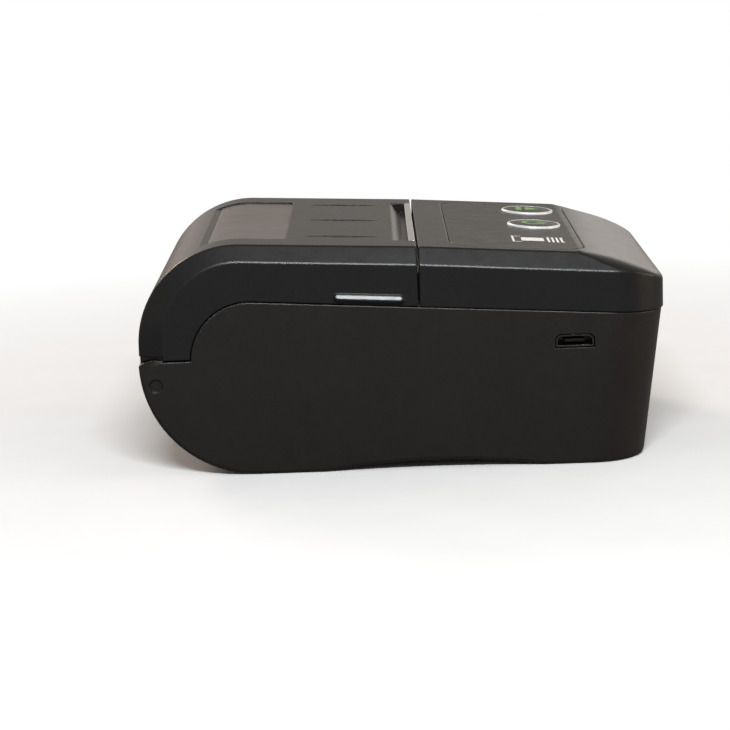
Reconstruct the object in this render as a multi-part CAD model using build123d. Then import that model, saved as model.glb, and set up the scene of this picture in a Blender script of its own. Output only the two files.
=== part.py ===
from build123d import *

import math
import os

# Portable thermal printer for 58 mm receipt paper, standing on its base.
# Millimetres. +X points to the key panel end, -Y to the side with the USB
# socket, +Z up. The origin is the bottom centre of the whole object.

# Overall size
HALF_WIDTH = 38.5
FAR = 60.0
BAND_Y = 36.2
REAR_X = -52.7
FRONT_X = 52.7
WALL = 1.8
CORNER_R = 11.0
LEAN_TOP = 31.5
FRONT_LEAN = 0.134

# Side outline of the housing
BACK_CENTRE = (-32.8, 26.35)
BACK_R = 19.9
SIDE_CENTRE = (-32.6, 27.8)
SIDE_R = 15.2
HEEL_CENTRE = (-29.6, 23.1)
HEEL_R = 23.1
SPLIT_X = 3.35
SPLIT_GAP = 0.4
SPLIT_Z = 44.65
BROW = (35.6, 42.45)
SLOPE_MIDDLE = (43.3, 40.4)
SLOPE_END = (51.3, 37.15)
NOSE = (52.35, 36.45)
NOSE_Z = 35.4
SIDE_SLOPE = ((45.2, 38.2), (51.3, 37.05))
SIDE_NOSE = (52.35, 36.4)
BAND_DROP = 3.43
BAND_FALL = 0.0688
BAND_EDGE_R = 0.6
BASE_EDGE_R = 0.8
TOE_R = 2.0
TOE_STEP = 0.07
ARCH = (-16.0, 4.8, 27.5)
ARCH_RISE = 1.65
RIM_R = 0.18

# Soft front corner: plan station X and turn, reach down the side, reach inward
SOFT_CORNER = (
    (34.5, 0, 0.1, 0.3),
    (36.5, 0, 0.6, 2.2),
    (39.0, 0, 1.2, 4.6),
    (41.7, 0, 1.6, 6.0),
    (41.7, 18, 1.5, 6.0),
    (41.7, 36, 1.1, 5.0),
    (41.7, 54, 0.9, 3.2),
    (41.7, 63, 1.0, 2.6),
    (41.7, 72, 1.1, 2.1),
    (41.7, 79, 1.18, 1.95),
    (41.7, 85, 1.25, 1.85),
    (41.7, 90, 1.3, 1.8),
)
COVER_SLOPE = math.atan(0.0449)
PANEL_SLOPE = math.atan((SPLIT_Z - BROW[1]) / (BROW[0] - SPLIT_X))

# Seam between the base and what closes it from above
SEAM_CENTRE = (-30.5, 23.2)
SEAM_R = 11.7
SEAM_SLOPE = math.atan(0.0628)
EAR_TOP = 23.4
SHELL_GAP = 0.12
COVER_GAP = 0.2
COVER_BOTTOM = 24.45

# Paper bay
BAY_HALF = 29.4
BAY_CHEEK = 1.6
BAY_FRONT_X = -5.2
BAY_FRONT_WALL = 1.4
BAY_WALL_TOP = 26.0

# Posts and rests inside the base: centres, radii and tops
FRAME_SCREW = (-1.0, 23.5)
FRAME_SCREW_R = 0.9
FRAME_POST_R = 2.2
FRAME_FLOOR_Z = 24.0
FRAME_REST = (-3.8, 8.0, 12.0, 18.0)
CASE_POST_R = 3.0
CASE_POST_TOP = 26.0
CASE_BORE = (2.2, 20.0)
BOARD_POSTS = ((16.0, -31.0), (16.0, 24.0), (38.0, -30.5), (38.0, 24.0))
BOARD_POST_R = 2.0

# Paper cover: window (rear X, front X, half width), grooves, tear bar, finger bars
WINDOW = (-38.6, -22.9, 28.0)
WINDOW_R = 0.8
PANE_DEPTHS = (0.35, 1.2)
GROOVE_X = (-19.4, -4.0)
GROOVE_YS = (-24.0, 0.0, 24.0)
GROOVE_HALF = 1.0
GROOVE_DEPTH = 0.7
BAR_THICK = 1.4
BAR_HALF = 28.6
BAR_FOOT = 41.6
BAR_EDGE_R = 0.3
RECESS_X = (-1.45, -1.0, 0.9)
RECESS_DEPTHS = (0.2, 2.1, 2.2)
RECESS_FLOOR = (40.8, 43.4)
FINGER_BAR_R = 0.95
FINGER_BAR_PROUD = 0.7
FINGER_BAR_ENDS = ((-12.65, 35.2), (-0.45, 34.45))
FINGER_FACET = (24.0, 0.86)

# Cover hinge
HINGE = (-49.4, 18.7)
PIN_R = 1.25
PIN_RUNNING = 0.05
PIN_HALF = 37.9
KNUCKLE_R = 3.2
KNUCKLE_Y = (24.0, 34.2)
KNUCKLE_ROOM = 0.4
EAR_R = 4.6
EAR_FILL_R = 5.15
EAR_REAR = ((-52.45, 18.9), (-51.3, 21.9), -47.7)
KNUCKLE_GAP = 0.3
SKIRT_Y = (34.5, 38.1)
SKIRT_BOTTOM = 21.5
SKIRT_STEP = (0.2, 0.1)

# Lip inside the seam
LIP_X = (-47.2, 42.0)
LIP_Y = (35.8, 36.5)
LIP_RISE = 0.8
LIP_BREAK_X = (-9.0, 28.0)

# Print line: the platen rides in the cover, everything else in the base
PLATEN = (-0.9, 35.2)
PLATEN_R = 4.0
PLATEN_HALF = 28.8
SHAFT_R = 1.5
BUSH_R = 3.0
BUSH_Y = (29.5, 33.0)
FRAME_Y = (29.6, 30.8)
FRAME_X = (-3.6, 10.2)
FRAME_WALL = 1.2
FRAME_TOP = 40.5
FRAME_DRIVE = (25.6, 41.0)
FRAME_MOUTH = ((8.0, 40.5), (3.6, 38.5), (-3.6, 33.5))
BRACKET_Y = (31.2, 33.0)
HEAD_X = 3.4
HEAD_THICK = 1.0
HEAD_HALF = 28.4
HEAD_Z = (30.0, 40.2)
SINK_THICK = 1.8
SINK_HALF = 29.3
SINK_Z = (28.0, 40.6)
SINK_RIBS = (7, 6.0, 1.2, 33.0)
SPRING_YS = (-15.0, 0.0, 15.0)
SPRING_Z = 36.8
SPRING_R = 1.7
SPRING_WIRE_R = 0.3
SPRING_TURNS = 3.5
GUIDE_R = (5.0, 6.0)
GUIDE_HALF = 22.0
SENSOR_Y = (5.2, 10.8)

# Gear train on the +Y side
MODULE = 0.5
GEAR_Y = (33.5, 35.7)
PLATEN_TEETH = 20
IDLER_TEETH = 20
PINION_TEETH = 12
AXLE_R = 1.0
MOTOR_R = 7.5
MOTOR_BACK_Y = 15.0
MOTOR_SHAFT_R = 0.75
OPENING_DIRECTION = math.degrees(math.atan2(PLATEN[0] - HINGE[0], -(PLATEN[1] - HINGE[1])))
SECOND_IDLER_ANGLE = 10.0
PINION_ANGLE = 45.0

# Key panel
KEY_X = 28.8
KEY_YS = {"power": 0.0, "feed": 22.0}
KEY_R = 5.1
KEY_HEIGHT = 0.4
KEY_DOME_R = 60.0
BEZEL_R = 5.65
BEZEL_HEIGHT = 0.45
BEZEL_DEPTH = 0.8
LABEL = (10.1, 36.8, 34.3)
LABEL_R = 6.5
LABEL_THICK = 0.3
KEY_BOARD_DEPTH = 6.4
KEY_BOARD = (8.0, 44.0, 1.2)
KEY_BOARD_POSTS = (-9.0, 11.0)
SWITCH = (6.0, 6.0, 2.0)
PLUNGER_R = 1.1

# Battery pack
PACK_X = (3.0, 40.0)
PACK_HALF = 32.0
PACK_TOP = 13.0
PACK_ROOM = 0.3
PACK_WALL = 1.2
CELL = (30.0, 28.0, 10.0)
CELL_Y = 15.4
CONTACT_YS = (-8.0, 0.0, 8.0)
CONTACT_Z = (5.0, 10.5)
CONTACT_HALF = 1.2
PAD_HALF = 1.5

# Case screws and circuit board
SCREW_X = 44.0
SCREW_Y = 26.5
SCREW_R = 1.0
BOARD_X = (13.0, 40.4)
BOARD_Y = (-35.3, 28.4)
BOARD_Z = (22.0, 23.6)
CONNECTOR_X = (14.0, 18.0)
CONNECTOR_HALF = 11.5
CABLE_HALF = 10.0
USB = (34.0, 25.0)
USB_DEPTH = 5.6
USB_MOUTH_STEP = 0.3
USB_WALL = 0.3
USB_HALF = 3.75
USB_RISE = 1.2


def block(x0, x1, y0, y1, z0, z1):
    return Pos((x0 + x1) / 2, (y0 + y1) / 2, (z0 + z1) / 2) * Box(x1 - x0, y1 - y0, z1 - z0)


def rod_y(centre, radius, y0, y1):
    return Pos(centre[0], (y0 + y1) / 2, centre[1]) * Rot(90, 0, 0) * Cylinder(radius, y1 - y0)


def rod_z(x, y, radius, z0, z1):
    return Pos(x, y, (z0 + z1) / 2) * Cylinder(radius, z1 - z0)


def outline(path, y):
    """Closed wire in the plane of this Y. A path item is a corner point, or
    ("via", point) for the middle of an arc to the next corner."""
    edges = []
    here = path[0]
    middle = None
    for item in path[1:] + [path[0]]:
        if item[0] == "via":
            middle = item[1]
            continue
        start = (here[0], y, here[1])
        end = (item[0], y, item[1])
        if middle is None:
            edges.append(Edge.make_line(start, end))
        else:
            edges.append(Edge.make_three_point_arc(start, (middle[0], y, middle[1]), end))
        here = item
        middle = None
    return Wire(edges)


def prism(path, y0, y1):
    return Part() + Solid.extrude(Face(outline(path, y0)), Vector(0, y1 - y0, 0))


def polar(centre, radius, degrees):
    turn = math.radians(degrees)
    return (centre[0] + radius * math.cos(turn), centre[1] + radius * math.sin(turn))


def on_cover_top(x, depth=0.0):
    """Height of the cover's flat top at this X, less a depth."""
    return SPLIT_Z + (SPLIT_X - x) * math.tan(COVER_SLOPE) - depth


def on_panel(x, depth=0.0):
    """Height of the key panel at this X, less a depth."""
    return SPLIT_Z - (x - SPLIT_X) * math.tan(PANEL_SLOPE) - depth


def on_seam(x, lift=0.0):
    """Height of the straight stretch of the seam at this X."""
    start = polar(SEAM_CENTRE, SEAM_R, 90 - math.degrees(SEAM_SLOPE))
    return start[1] - (x - start[0]) * math.tan(SEAM_SLOPE) + lift


def top_path(inset, bottom):
    """Outline of the closed top at the middle of the width, and inset inwards."""
    crown = polar(BACK_CENTRE, BACK_R - inset, 90 - math.degrees(COVER_SLOPE))
    front = FRONT_X - inset
    return [
        (REAR_X + inset, bottom),
        (REAR_X + inset, BACK_CENTRE[1]),
        ("via", polar(BACK_CENTRE, BACK_R - inset, 135)),
        crown,
        (SPLIT_X, SPLIT_Z - inset),
        (BROW[0] - 0.2 * inset, BROW[1] - inset),
        ("via", (SLOPE_MIDDLE[0] - 0.4 * inset, SLOPE_MIDDLE[1] - inset)),
        (SLOPE_END[0] - inset, SLOPE_END[1] - 0.8 * inset),
        ("via", (NOSE[0] - inset, NOSE[1] - 0.5 * inset)),
        (front, NOSE_Z),
        (front, bottom),
    ]


def side_path(inset, bottom):
    """Outline at the outer side faces, where the sloping band ends."""
    radius = SIDE_R - inset
    front = FRONT_X - inset
    return [
        (SIDE_CENTRE[0] - radius, bottom),
        (SIDE_CENTRE[0] - radius, SIDE_CENTRE[1]),
        ("via", polar(SIDE_CENTRE, radius, 135)),
        polar(SIDE_CENTRE, radius, 90 - math.degrees(COVER_SLOPE)),
        (SPLIT_X, SPLIT_Z - BAND_DROP - inset),
        (BROW[0], BROW[1] - BAND_DROP - inset),
        ("via", (SIDE_SLOPE[0][0], SIDE_SLOPE[0][1] - inset)),
        (SIDE_SLOPE[1][0] - inset, SIDE_SLOPE[1][1] - inset),
        ("via", (SIDE_NOSE[0] - inset, SIDE_NOSE[1] - inset)),
        (front, NOSE_Z - 0.1),
        (front, bottom),
    ]


def base_path(inset):
    """Outline of the base, open to the front and above, where other forms cut it."""
    lean = math.degrees(math.atan(FRONT_LEAN))
    toe_x = FRONT_X - TOE_STEP - FRONT_LEAN * (LEAN_TOP - TOE_R) - TOE_R / math.cos(math.radians(lean))
    toe = (toe_x, TOE_R)
    toe_top = polar(toe, TOE_R - inset, -lean)
    return [
        (REAR_X + inset, HEEL_CENTRE[1]),
        ("via", polar(HEEL_CENTRE, HEEL_R - inset, 225)),
        (HEEL_CENTRE[0], inset),
        (ARCH[0], inset),
        ("via", (ARCH[1], ARCH_RISE + inset)),
        (ARCH[2], inset),
        (toe[0], inset),
        ("via", polar(toe, TOE_R - inset, -45 - lean / 2)),
        toe_top,
        (FRONT_X + 5.0, toe_top[1]),
        (FRONT_X + 5.0, 48.0),
        (REAR_X + inset, 48.0),
    ]


def seam_height(x, lift):
    """Height of the seam at this X: a level ear, an arc, then the straight stretch."""
    radius = SEAM_R + lift
    straight_from = polar(SEAM_CENTRE, radius, 90 - math.degrees(SEAM_SLOPE))[0]
    arc_from = SEAM_CENTRE[0] - math.sqrt(radius**2 - (EAR_TOP + lift - SEAM_CENTRE[1])**2)
    if x >= straight_from:
        return on_seam(x, lift)
    if x <= arc_from:
        return EAR_TOP + lift
    return SEAM_CENTRE[1] + math.sqrt(radius**2 - (x - SEAM_CENTRE[0])**2)


def below_seam(lift):
    """Everything under the seam, moved outwards by a lift."""
    radius = SEAM_R + lift
    return prism([
        (-70.0, EAR_TOP + lift),
        (SEAM_CENTRE[0] - math.sqrt(radius**2 - (EAR_TOP + lift - SEAM_CENTRE[1])**2), EAR_TOP + lift),
        ("via", polar(SEAM_CENTRE, radius, 135)),
        polar(SEAM_CENTRE, radius, 90 - math.degrees(SEAM_SLOPE)),
        (70.0, on_seam(70.0, lift)),
        (70.0, -10.0),
        (-70.0, -10.0),
    ], -50, 50)


def plan_column(inset, low=-5.0, high=60.0):
    """Plan of the housing as a tall column: square behind, rounded in front."""
    half = HALF_WIDTH - inset
    column = block(REAR_X - 5, FRONT_X - inset, -half, half, low, high)
    upright = [e for e in column.edges().filter_by(Axis.Z) if e.center().X > 0]
    return fillet(upright, CORNER_R - inset)


def leaning_column(inset):
    """Plan of the base: its front and both front corners lean in towards the floor."""
    rear = REAR_X - 25.0
    rings = []
    for z in (-5.0, LEAN_TOP, 60.0):
        front = FRONT_X - 0.1 - inset - FRONT_LEAN * max(0.0, LEAN_TOP - z)
        ring = RectangleRounded(front - rear, 2 * (HALF_WIDTH - inset), CORNER_R - inset)
        rings.append((Pos((front + rear) / 2, 0, z) * ring).wire())
    return Part() + Solid.make_loft(rings[:2], ruled=True) + Solid.make_loft(rings[1:], ruled=True)


def edges_at(form, *distances):
    """Edges that lie wholly in the planes at these distances from the middle."""
    chosen = []
    for edge in form.edges():
        reach = edge.bounding_box()
        flat = reach.max.Y - reach.min.Y < 0.001
        if flat and any(abs(abs(reach.max.Y) - d) < 0.001 for d in distances):
            chosen.append(edge)
    return chosen


def panel_height(x):
    """Height of the top at this X, over the key panel and the front slope."""
    if x <= BROW[0]:
        return on_panel(x)
    (x1, z1), (x2, z2), (x3, z3) = BROW, SLOPE_MIDDLE, SLOPE_END
    twice = 2 * (x1 * (z2 - z3) + x2 * (z3 - z1) + x3 * (z1 - z2))
    s1, s2, s3 = x1**2 + z1**2, x2**2 + z2**2, x3**2 + z3**2
    centre_x = (s1 * (z2 - z3) + s2 * (z3 - z1) + s3 * (z1 - z2)) / twice
    centre_z = (s1 * (x3 - x2) + s2 * (x1 - x3) + s3 * (x2 - x1)) / twice
    radius = math.hypot(x1 - centre_x, z1 - centre_z)
    return centre_z + math.sqrt(radius**2 - (x - centre_x)**2)


def band_height(x):
    """Height of the band's lower edge at this X, in front of the split."""
    return SPLIT_Z - BAND_DROP - (x - SPLIT_X) * BAND_FALL


def corner_section(x, turn, down, inward, side):
    """Section of what the soft corner takes away at one plan station. The station
    turns about the corner's centre; the cut reaches this far down the side and
    inward over the top."""
    sine = math.sin(math.radians(turn))
    cosine = math.cos(math.radians(turn))
    centre_y = HALF_WIDTH - CORNER_R
    lean = (HALF_WIDTH - BAND_Y) / BAND_DROP
    inset = 0.0
    for _ in range(40):
        reach = x + (CORNER_R - inset) * sine
        inset = 0.5 * inset + 0.5 * max(0.0, lean * (panel_height(reach) - band_height(reach)))
    edge_r = CORNER_R - inset
    edge_z = panel_height(x + edge_r * sine)
    low_r = min(CORNER_R, edge_r + down * lean)
    high_r = edge_r - inward
    clear = 0.004

    def place(radius, z):
        return (x + radius * sine, side * (centre_y + radius * cosine), z)

    low = place(low_r + clear, edge_z - down + clear)
    corner = place(edge_r, edge_z)
    high = place(high_r, panel_height(x + high_r * sine) + clear)
    outside = place(edge_r + 3, edge_z + 3)
    return Wire([
        Edge.make_bezier(low, corner, high),
        Edge.make_line(high, outside),
        Edge.make_line(outside, low),
    ])


def panel_form(bottom):
    """Closed outer form in front of the split. Its side band runs on round the
    front corners, where it melts into the front slope."""
    levels = []
    for rise in (0.0, 8.0):
        slice_plane = Plane(origin=(0, 0, band_height(0) + rise), z_dir=(BAND_FALL, 0, 1))
        ring = plan_column(rise * (HALF_WIDTH - BAND_Y) / BAND_DROP)
        levels.append(section(ring, section_by=slice_plane).face().outer_wire())
    crown = Part() + Solid.make_loft(levels, ruled=True)
    band_plane = Plane(origin=(0, 0, band_height(0)), z_dir=(BAND_FALL, 0, 1))
    under = band_plane * Pos(0, 0, -50) * Box(200, 200, 100)
    form = crown + (plan_column(0, low=bottom) & under)
    band_edges = []
    for edge in form.edges():
        middle = edge @ 0.5
        if abs(middle.Z - band_height(middle.X)) < 0.01 and middle.X > REAR_X:
            band_edges.append(edge)
    form = fillet(band_edges, BAND_EDGE_R)
    form = form & block(SPLIT_X - 5, 60, -50, 50, bottom, 60) & prism(top_path(0, bottom), -50, 50)
    top_edges = []
    for edge in form.edges():
        middle = edge @ 0.5
        long_way = abs((edge @ 1).X - (edge @ 0).X) > 20
        if long_way and middle.Z > band_height(middle.X) + 2:
            top_edges.append(edge)
    form = fillet(top_edges, BAND_EDGE_R)
    for side in (-1, 1):
        stations = [corner_section(*station, side) for station in SOFT_CORNER]
        form -= Solid.make_loft(stations)
    front_edge = Face(corner_section(*SOFT_CORNER[-1], -1))
    return form - Solid.extrude(front_edge, Vector(0, 2 * (HALF_WIDTH - CORNER_R), 0))


def cover_form(bottom):
    """Closed outer form behind the split, with its sloping side bands."""
    form = prism(top_path(0, bottom), -BAND_Y, BAND_Y)
    for side in (-1, 1):
        inner = outline(top_path(0, bottom), side * BAND_Y)
        outer = outline(side_path(0, bottom), side * HALF_WIDTH)
        form += Solid.make_loft([inner, outer], ruled=True)
    form = form & block(-60, SPLIT_X + 5, -50, 50, 0, 60)
    return fillet([e for e in edges_at(form, BAND_Y, HALF_WIDTH) if e.center().Z > bottom + 2], BAND_EDGE_R)


def top_hollow(bottom):
    """What is hollow under the closed top."""
    hollow = prism(top_path(WALL, bottom), -(BAND_Y - WALL), BAND_Y - WALL)
    hollow += prism(side_path(0.5, bottom), -(HALF_WIDTH - WALL), HALF_WIDTH - WALL)
    return hollow & plan_column(WALL)


def rim_edges(form, lift):
    """Outer edges of a form where the seam cuts it, at this lift."""
    chosen = []
    for edge in form.edges():
        points = [edge @ t for t in (0.0, 0.5, 1.0)]
        across = max(p.Y for p in points) - min(p.Y for p in points) > 2 * (HALF_WIDTH - CORNER_R) - 1
        if across and max(p.X for p in points) < FRONT_X - 1:
            continue
        if all(abs(seam_height(p.X, lift) - p.Z) < 0.02 for p in points):
            chosen.append(edge)
    return chosen


def split_edges(form, x):
    """Outer edges of a form in the plane of the split."""
    chosen = []
    for edge in form.edges():
        points = [edge @ t for t in (0.0, 0.5, 1.0)]
        if all(abs(p.X - x) < 0.001 for p in points) and points[1].Z > on_seam(x) + 1:
            chosen.append(edge)
    return chosen


PANEL_FORM = panel_form(COVER_BOTTOM)
COVER_FORM = cover_form(SKIRT_BOTTOM)
TOP_HOLLOW = top_hollow(COVER_BOTTOM - 5)

NODES = {}


def key_frame(y, depth):
    """Frame on the key panel: its Z is the panel's normal, at this depth under it."""
    tilt = math.degrees(PANEL_SLOPE)
    return Pos(KEY_X, y, on_panel(KEY_X)) * Rot(0, tilt, 0) * Pos(0, 0, -depth)


def disc(frame, radius, height):
    """Cylinder that rises from this frame."""
    return frame * Pos(0, 0, height / 2) * Cylinder(radius, height)


def label_patch(grow, depth):
    x0, x1, half = LABEL
    plate = block(x0 - grow, x1 + grow, -half - grow, half + grow, 30, 60)
    plate = fillet(plate.edges().filter_by(Axis.Z), LABEL_R + grow)
    return (PANEL_FORM & plate) - Pos(0, 0, -depth) * PANEL_FORM


def usb_path(grow):
    """Outline of the socket: flat below, with two cut corners above."""
    x, z = USB
    half = USB_HALF + grow
    rise = USB_RISE + grow
    cut = 0.75 + 0.3 * grow
    return [
        (x - half, z - rise), (x + half, z - rise), (x + half, z + rise - cut),
        (x + half - cut, z + rise), (x - half + cut, z + rise), (x - half, z + rise - cut),
    ]


def pack_block(grow):
    """Upright block of the battery pack's outline, grown all round and open below."""
    half = PACK_HALF + grow
    return block(PACK_X[0] - grow, PACK_X[1] + grow, -half, half, -5, PACK_TOP + grow)


def make_base():
    outside = prism(base_path(0), -HALF_WIDTH, HALF_WIDTH) & leaning_column(0)
    low_edges = [e for e in edges_at(outside, HALF_WIDTH) if e.center().Z < 47 and e.center().X < 42]
    outside = fillet(low_edges, BASE_EDGE_R)
    ear_low, ear_middle, ear_high_x = EAR_REAR
    rear_corner = prism([
        (REAR_X - 2, ear_low[1]),
        ear_low,
        ("via", ear_middle),
        (ear_high_x, EAR_TOP),
        (ear_high_x, 30.0),
        (REAR_X - 2, 30.0),
    ], -FAR, FAR)
    ear = rod_y(HINGE, EAR_R, KNUCKLE_Y[1] + KNUCKLE_GAP, HALF_WIDTH)
    cheek_disc = rod_y(HINGE, EAR_FILL_R, KNUCKLE_Y[1] + KNUCKLE_GAP, HALF_WIDTH - 0.5)
    cheek_discs = cheek_disc + mirror(cheek_disc, about=Plane.XZ)
    shell = (outside & (below_seam(0) + cheek_discs)) - (rear_corner - cheek_discs)
    shell = fillet(rim_edges(shell, 0), RIM_R)
    inside = prism(base_path(WALL), -(HALF_WIDTH - WALL), HALF_WIDTH - WALL) & leaning_column(WALL)

    # Walls that stay inside: bay cheeks, bay front wall, battery compartment
    cheek = BAY_HALF + BAY_CHEEK
    bay_front = BAY_FRONT_X + BAY_FRONT_WALL
    keep = block(-FAR, bay_front, BAY_HALF, cheek, -5, FAR)
    keep += block(-FAR, bay_front, -cheek, -BAY_HALF, -5, FAR)
    keep += block(BAY_FRONT_X, bay_front, -FAR, FAR, -5, BAY_WALL_TOP)
    keep += pack_block(PACK_ROOM + PACK_WALL)
    rest_x0, rest_x1, rest_y0, rest_y1 = FRAME_REST
    for side in (-1, 1):
        keep += rod_z(SCREW_X, side * SCREW_Y, CASE_POST_R, -5, CASE_POST_TOP)
        keep += rod_z(FRAME_SCREW[0], side * FRAME_SCREW[1], FRAME_POST_R, -5, FRAME_FLOOR_Z)
        rest_y = sorted((side * rest_y0, side * rest_y1))
        keep += block(rest_x0, rest_x1, *rest_y, PACK_TOP - 3, FRAME_FLOOR_Z)
    for x, y in BOARD_POSTS:
        keep += rod_z(x, y, BOARD_POST_R, 5, BOARD_Z[0])
    keep += cheek_discs + ear + mirror(ear, about=Plane.XZ)
    shell -= inside - keep

    # Battery compartment, open below
    shell -= pack_block(PACK_ROOM)
    contact_rear = PACK_X[0] - PACK_ROOM - 0.9
    for y in CONTACT_YS:
        shell -= block(contact_rear, PACK_X[0], y - CONTACT_HALF - 0.4, y + CONTACT_HALF + 0.4, *CONTACT_Z)

    # Screw holes
    for side in (-1, 1):
        shell -= rod_z(SCREW_X, side * SCREW_Y, CASE_BORE[0], -5, CASE_BORE[1])
        shell -= rod_z(SCREW_X, side * SCREW_Y, SCREW_R + 0.1, 15, 30.0)
        shell -= rod_z(FRAME_SCREW[0], side * FRAME_SCREW[1], FRAME_SCREW_R, 16.0, 26.0)

    # Lip inside the seam, left out where the gear train stands
    lip_wall = block(*LIP_X, LIP_Y[0], HALF_WIDTH - 1, 0, FAR)
    lip_edge = block(*LIP_X, *LIP_Y, 0, FAR)
    lip = ((below_seam(0) & lip_wall) + (below_seam(LIP_RISE) & lip_edge)) - below_seam(-2.0)
    shell += mirror(lip, about=Plane.XZ)
    shell += lip - block(*LIP_BREAK_X, 30, 40, 0, FAR)

    # Hinge pin's holes and the room for the cover's knuckles
    for side in (-1, 1):
        y0, y1 = sorted((side * (KNUCKLE_Y[0] - KNUCKLE_GAP), side * (KNUCKLE_Y[1] + KNUCKLE_GAP)))
        shell -= rod_y(HINGE, KNUCKLE_R + KNUCKLE_ROOM, y0, y1)
        shell -= block(REAR_X - 2, HINGE[0], y0, y1, 14.3, 30.0)
    shell -= rod_y(HINGE, PIN_R + 0.45, -KNUCKLE_Y[1], KNUCKLE_Y[1])
    shell -= rod_y(HINGE, PIN_R, -50, 50)
    shell -= rod_y(HINGE, PIN_R + 0.15, PIN_HALF, 50)
    shell -= rod_y(HINGE, PIN_R + 0.15, -50, -PIN_HALF)

    shell -= prism(usb_path(0.2), -HALF_WIDTH - 3, -HALF_WIDTH + 3)
    NODES["base_shell"] = shell
    NODES["hinge_pin"] = rod_y(HINGE, PIN_R, -PIN_HALF, PIN_HALF)


def crown_height(x):
    """Height of the cover's curved back at this X."""
    return BACK_CENTRE[1] + math.sqrt(BACK_R**2 - (x - BACK_CENTRE[0])**2)


def window_block(grow):
    """Upright form of the window's outline with rounded corners."""
    x0, x1, half = WINDOW
    form = block(x0 - grow, x1 + grow, -half - grow, half + grow, 30, 60)
    return fillet(form.edges().filter_by(Axis.Z), WINDOW_R)


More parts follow.
